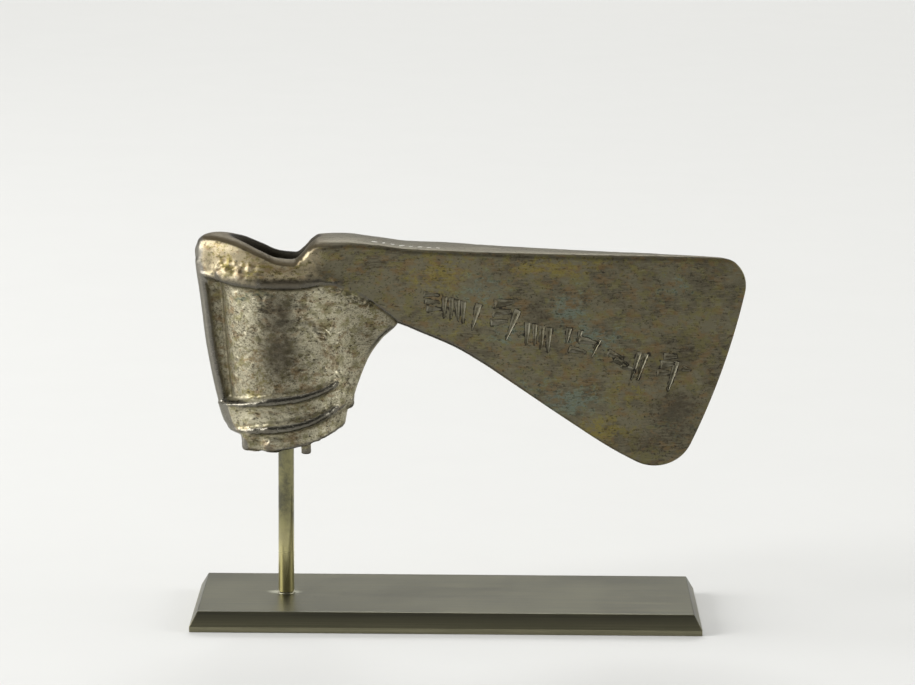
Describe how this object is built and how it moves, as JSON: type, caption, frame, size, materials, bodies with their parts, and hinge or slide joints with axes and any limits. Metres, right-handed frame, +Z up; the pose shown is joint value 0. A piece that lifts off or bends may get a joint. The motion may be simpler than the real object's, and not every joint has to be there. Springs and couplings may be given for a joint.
{
  "type": "bronze axe head on a stand",
  "caption": "Ancient bronze shaft-hole axe head with a long flared blade and ribbed socket, held upright by a brass rod on a bevelled base plate.",
  "frame": {"origin": "centre of the base plate's underside", "axes": "+Z up along the rod, +X along the plate's long side towards the cutting edge, +Y across the plate's short side"},
  "size_m": [0.1384, 0.044, 0.0975],
  "materials": {
    "bronze": "worn cast bronze with a brown-green patina, burnished on its edges",
    "rod_brass": "drawn brass, tarnished",
    "base_bronze": "satin brushed and darkened brass"
  },
  "bodies": {
    "root": {"axe_head": "bronze", "support_rod": "rod_brass", "base_plate": "base_bronze"}
  },
  "joints": []
}
